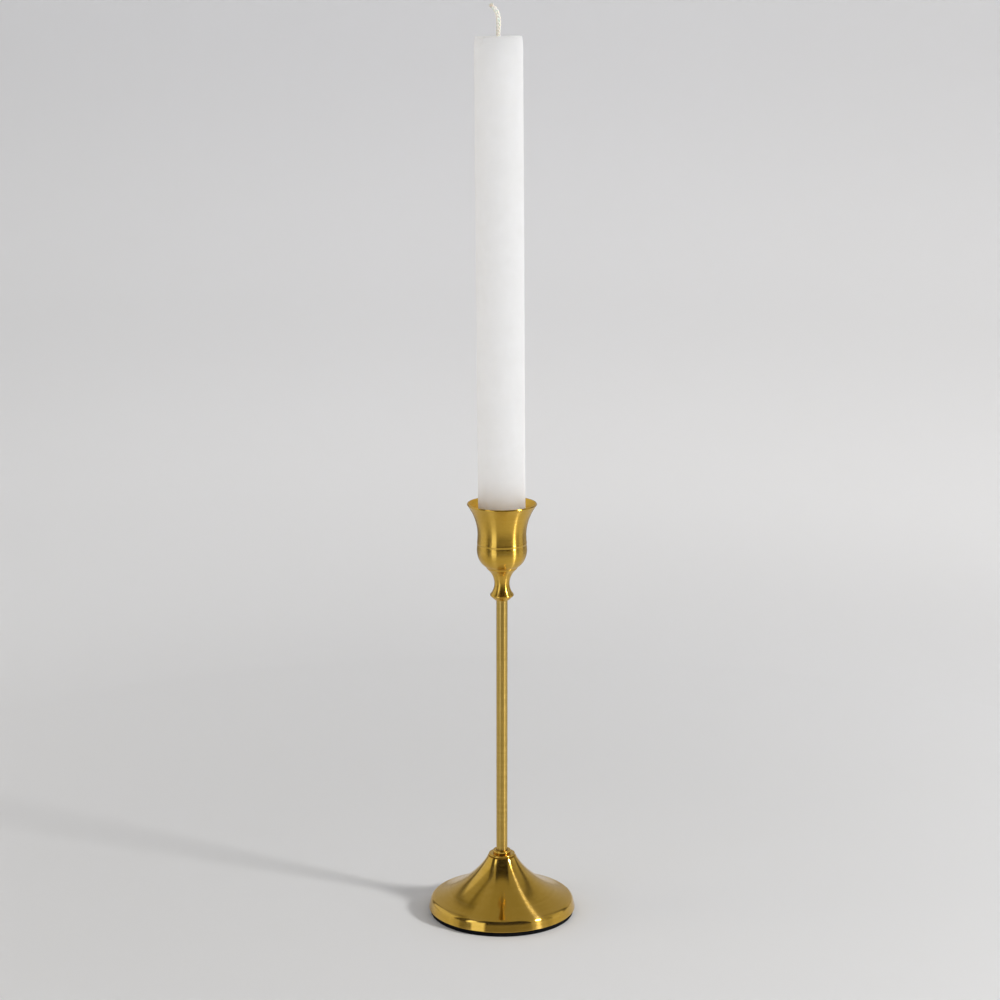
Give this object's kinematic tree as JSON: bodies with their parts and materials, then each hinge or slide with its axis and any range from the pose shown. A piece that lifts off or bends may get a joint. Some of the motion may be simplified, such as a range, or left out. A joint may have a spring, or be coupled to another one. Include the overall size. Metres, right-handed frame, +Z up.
{
  "type": "candlestick",
  "caption": "Slim brass candlestick with a weighted trumpet base, straight tubular stem, turned knop and flared cup, holding an upright dinner candle that lifts out.",
  "frame": {"origin": "middle of the pad's underside, on the surface that the candlestick stands on", "axes": "+Z up along the stem, -Y towards the side that the picture shows, the candle's lean and the wick's bend towards -X"},
  "size_m": [0.07, 0.07, 0.4265],
  "materials": {
    "brass": "satin",
    "stem_brass": "satin",
    "iron": "matte",
    "steel": "satin",
    "foam": "matte",
    "wax": "satin",
    "cotton": "matte"
  },
  "bodies": {
    "stick": {"base_pad": "foam", "base_shell": "brass", "ballast_weight": "iron", "base_washer": "steel", "lock_washer": "steel", "base_nut": "steel", "stem_collar": "brass", "stem_tube": "stem_brass", "tie_rod": "steel", "knop": "brass", "candle_cup": "brass", "cup_washer": "steel", "cup_screw": "steel"},
    "candle": {"candle": "wax", "wick": "cotton"}
  },
  "joints": [
    {"name": "candle_lift", "type": "slide", "parent": "stick", "child": "candle", "axis": [0, 0, 1], "range_m": [0, 0.06]}
  ]
}
